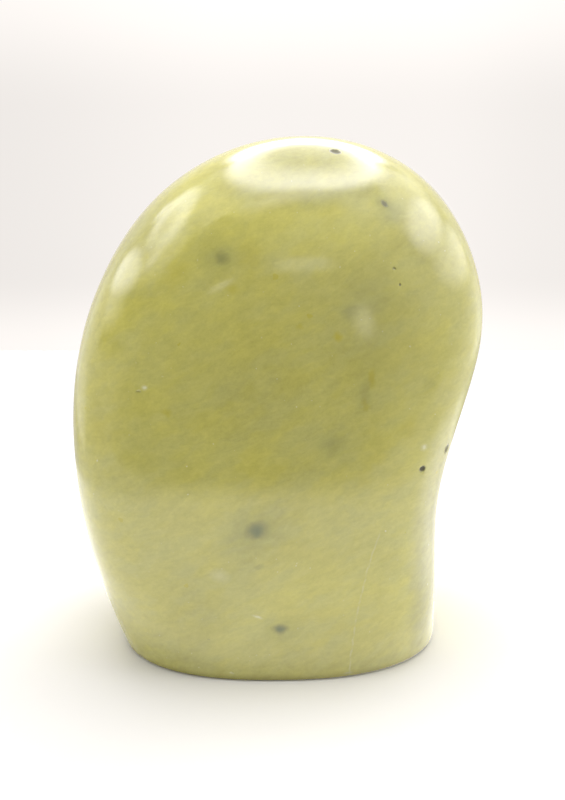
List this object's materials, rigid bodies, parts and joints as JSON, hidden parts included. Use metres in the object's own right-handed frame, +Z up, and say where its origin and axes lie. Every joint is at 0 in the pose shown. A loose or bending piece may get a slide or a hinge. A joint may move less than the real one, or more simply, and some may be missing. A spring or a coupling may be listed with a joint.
{
  "type": "polished serpentine rock",
  "caption": "Hand-shaped, polished freeform of pale yellow-green serpentine with a domed crown and a hollowed flank, standing on a flat ground base.",
  "frame": {"origin": "on the base plane, under the middle of the stone's bounding box", "axes": "+Z up from the flat base to the crown, +X to the right across the broad face, -Y towards the front"},
  "size_m": [0.0924, 0.0632, 0.12],
  "materials": {
    "serpentine": "polished, slightly translucent"
  },
  "bodies": {
    "root": {"stone": "serpentine"}
  },
  "joints": []
}
